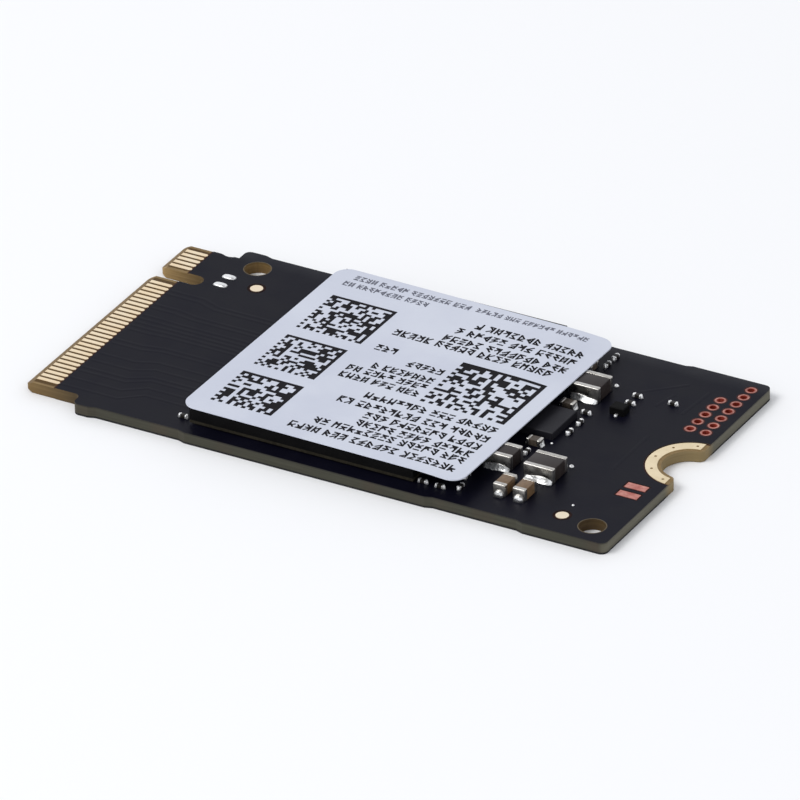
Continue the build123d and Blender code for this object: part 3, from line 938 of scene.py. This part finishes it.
def add_code_block(bm, rng, x0, y0, x1, y1, count):
    """A square block of random cells, with two solid sides and two dotted ones."""
    step_x = (x1 - x0) / count
    step_y = (y1 - y0) / count
    for row in range(count):
        filled = []
        for column in range(count):
            if row == count - 1 or column == count - 1:
                filled.append(True)
            elif row == 0 or column == 0:
                filled.append((row + column) % 2 == 0)
            else:
                filled.append(rng.random() < CELLS_FILLED)
        add_cells(bm, filled, x0, y0 + row * step_y, step_x, step_y)


def add_stroke(bm, start, end, thickness, height):
    """A straight stroke of ink between two places in the label's own millimetres."""
    along = (end - start).normalized() * thickness / 2
    side = Vector((-along.y, along.x))
    corners = (start - along - side, start - along + side, end + along + side, end + along - side)
    points = [on_label(corner.x, corner.y) for corner in corners]
    lower = [bm.verts.new(point - UP * INK_SINK) for point in points]
    upper = [bm.verts.new(point + UP * height) for point in points]
    bm.faces.new(lower)
    bm.faces.new(reversed(upper))
    for i in range(4):
        k = (i + 1) % 4
        bm.faces.new((lower[i], upper[i], upper[k], lower[k]))


def add_mark(bm, rng, x, y, height):
    """One mark, which is no letter: two straight and two slanted strokes, each lower than the last."""
    thickness = STROKE_WIDTH * height
    width = MARK_WIDTH * height - thickness
    rise = height - thickness
    corner = Vector((x + thickness / 2, y - rise / 2))
    strokes = rng.sample(STRAIGHT_STROKES, 2) + rng.sample(SLANTED_STROKES, 2)
    for i, ends in enumerate(strokes):
        start, end = (corner + Vector((across * width, up * rise)) for across, up in ends)
        add_stroke(bm, start, end, thickness, INK_HEIGHT * (1 - STROKE_STEP_DOWN * i))


def add_print_row(bm, rng, x0, x1, y, height):
    """A row of small print: words of random length, made of marks that spell nothing."""
    width = MARK_WIDTH * height
    x = x1
    word = rng.randint(*FIRST_WORD)
    while x - width > x0:
        if word == 0:
            word = rng.randint(*NEXT_WORDS)
            x -= WORD_GAP * height
            continue
        word -= 1
        x -= width
        add_mark(bm, rng, x, y, height)
        x -= MARK_GAP * height


def print_label():
    """Code blocks and rows of small print, dark and pale."""
    rng = random.Random(PRINT_SEED)
    bm = bmesh.new()
    for block in CODE_BLOCKS:
        add_code_block(bm, rng, *block)
    for row in PRINT_ROWS:
        add_print_row(bm, rng, *row)
    finished("label_print", bm, INK, smooth=False)
    bm = bmesh.new()
    for row in PALE_ROWS:
        add_print_row(bm, rng, *row)
    finished("label_pale_print", bm, PALE_INK, smooth=False)


print_label()


# Traces under the mask

TRACE_SEED = 7
TRACE_SHARE_LEFT_OUT = 0.25
TRACE_HEIGHT = 0.005 * MM
TRACE_FLANK = 0.12 * MM
TRACE_SINK = 0.02 * MM
TRACE_FAR_LIMIT = 4.4 * MM
TRACE_WIDTH = 0.34 * MM
TRACE_FOOT = TRACE_WIDTH / 2
TRACE_CROWN = TRACE_FOOT - TRACE_FLANK
TRACE_START = 0.2 * MM
TRACE_LEAD = 1.2 * MM
TRACE_LEAD_FANNING = 0.3
TRACE_SLANT = 1.4 * MM
TRACE_DRAW_IN = -0.12
TRACE_UNDER_PACKAGE = 0.5 * MM
TRACE_PROFILE = (
    (-TRACE_FOOT, -TRACE_SINK),
    (TRACE_FOOT, -TRACE_SINK),
    (TRACE_FOOT, 0),
    (TRACE_CROWN, TRACE_HEIGHT),
    (-TRACE_CROWN, TRACE_HEIGHT),
    (-TRACE_FOOT, 0),
)

# Ends of the few traces near the notch, in millimetres
NOTCH_TRACES = (
    ((17.04, -2.63), (17.04, 2.0)),
    ((13.94, 6.6), (16.3, 8.82)),
    ((15.62, 5.48), (16.07, 7.28)),
    ((17.6, 5.3), (17.9, 8.6)),
)


def add_trace(bm, path):
    """A flat-topped ridge with sloped flanks along a path on the board's top face."""
    points = [Vector((x, y, BOARD_TOP)) for x, y in path]
    sections = []
    for i, point in enumerate(points):
        before = points[max(i - 1, 0)]
        after = points[min(i + 1, len(points) - 1)]
        side = UP.cross((after - before).normalized())
        sections.append([bm.verts.new(point + side * reach + UP * level) for reach, level in TRACE_PROFILE])
    skin(bm, sections)


def lay_traces():
    """Traces from the contacts to the package, each with one slanted step, and a few by the notch."""
    rng = random.Random(TRACE_SEED)
    package_low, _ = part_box("flash_body")
    stop = package_low.x + TRACE_UNDER_PACKAGE
    bm = bmesh.new()
    for low, high in solids_of("edge_contacts_top"):
        y = (low.y + high.y) / 2
        if rng.random() < TRACE_SHARE_LEFT_OUT or y > TRACE_FAR_LIMIT:
            continue
        start = high.x + TRACE_START
        bend = start + TRACE_LEAD + TRACE_LEAD_FANNING * abs(y)
        end_y = y + TRACE_DRAW_IN * y
        add_trace(bm, ((start, y), (bend, y), (bend + TRACE_SLANT, end_y), (stop, end_y)))
    for path in NOTCH_TRACES:
        add_trace(bm, [(x * MM, y * MM) for x, y in path])
    finished("mask_traces", bm, MASK, smooth=False)


lay_traces()


# Stage, light and camera, with lengths in metres

FLOOR_HALF_SIZE = 4.0
FLOOR_COLOUR = (0.93, 0.93, 0.93, 1)
FLOOR_DROP = 0.002 * MM
WALL_COLOUR = (0.93, 0.95, 1.0)
CEILING_COLOUR = (0.33, 0.335, 0.345)
WALL_TO_CEILING = (0.6, 0.95)
KEY_PLACE = Vector((-0.36, -0.40, 0.66))
KEY_SIZE = 0.42
KEY_POWER = 3.4


def make_floor():
    """A plain pale floor."""
    bm = bmesh.new()
    bmesh.ops.create_grid(bm, x_segments=1, y_segments=1, size=FLOOR_HALF_SIZE)
    mesh = bpy.data.meshes.new("floor")
    bm.to_mesh(mesh)
    bm.free()
    made, shader = new_material("floor")
    plain(shader, Base_Color=FLOOR_COLOUR, Roughness=0.9, Specular_IOR_Level=0.0)
    mesh.materials.append(made)
    floor = bpy.data.objects.new("floor", mesh)
    floor.location.z = -FLOOR_DROP
    bpy.context.scene.collection.objects.link(floor)


def make_world():
    """A pale room: bright walls and a dimmer ceiling."""
    world = bpy.data.worlds.new("room")
    bpy.context.scene.world = world
    world.use_nodes = True
    tree = world.node_tree
    direction = add_node(tree, "ShaderNodeTexCoord").outputs["Generated"]
    height = add_node(tree, "ShaderNodeSeparateXYZ", {0: direction}).outputs["Z"]
    overhead = between(tree, height, *WALL_TO_CEILING)
    colour = blend_colours(tree, overhead, WALL_COLOUR, CEILING_COLOUR)
    tree.links.new(colour, tree.nodes["Background"].inputs["Color"])


def make_key_lamp():
    """A square soft lamp that faces the object."""
    data = bpy.data.lights.new("key", "AREA")
    data.size = KEY_SIZE
    data.energy = KEY_POWER
    lamp = bpy.data.objects.new("key", data)
    lamp.location = KEY_PLACE
    lamp.rotation_euler = (-KEY_PLACE).to_track_quat("-Z", "Y").to_euler()
    bpy.context.scene.collection.objects.link(lamp)


def make_camera():
    """A long lens at the photo's angle."""
    azimuth, elevation = CAMERA_AZIMUTH, CAMERA_ELEVATION
    back = Vector((
        math.sin(azimuth) * math.cos(elevation),
        -math.cos(azimuth) * math.cos(elevation),
        math.sin(elevation),
    ))
    level = Vector((math.cos(azimuth), math.sin(azimuth), 0))
    upright = back.cross(level)
    right = level * math.cos(CAMERA_ROLL) + upright * math.sin(CAMERA_ROLL)
    up = upright * math.cos(CAMERA_ROLL) - level * math.sin(CAMERA_ROLL)
    data = bpy.data.cameras.new("camera")
    data.lens = CAMERA_LENS
    data.sensor_width = CAMERA_SENSOR
    data.clip_start = CAMERA_CLIP
    camera = bpy.data.objects.new("camera", data)
    turn = Matrix((right, up, back)).transposed().to_4x4()
    eye = CAMERA_TARGET + right * CAMERA_SIDE + up * CAMERA_RISE + back * CAMERA_DISTANCE
    camera.matrix_world = Matrix.Translation(eye) @ turn
    bpy.context.scene.collection.objects.link(camera)
    bpy.context.scene.camera = camera


make_floor()
make_world()
make_key_lamp()
make_camera()
bpy.context.scene.view_settings.view_transform = "Standard"
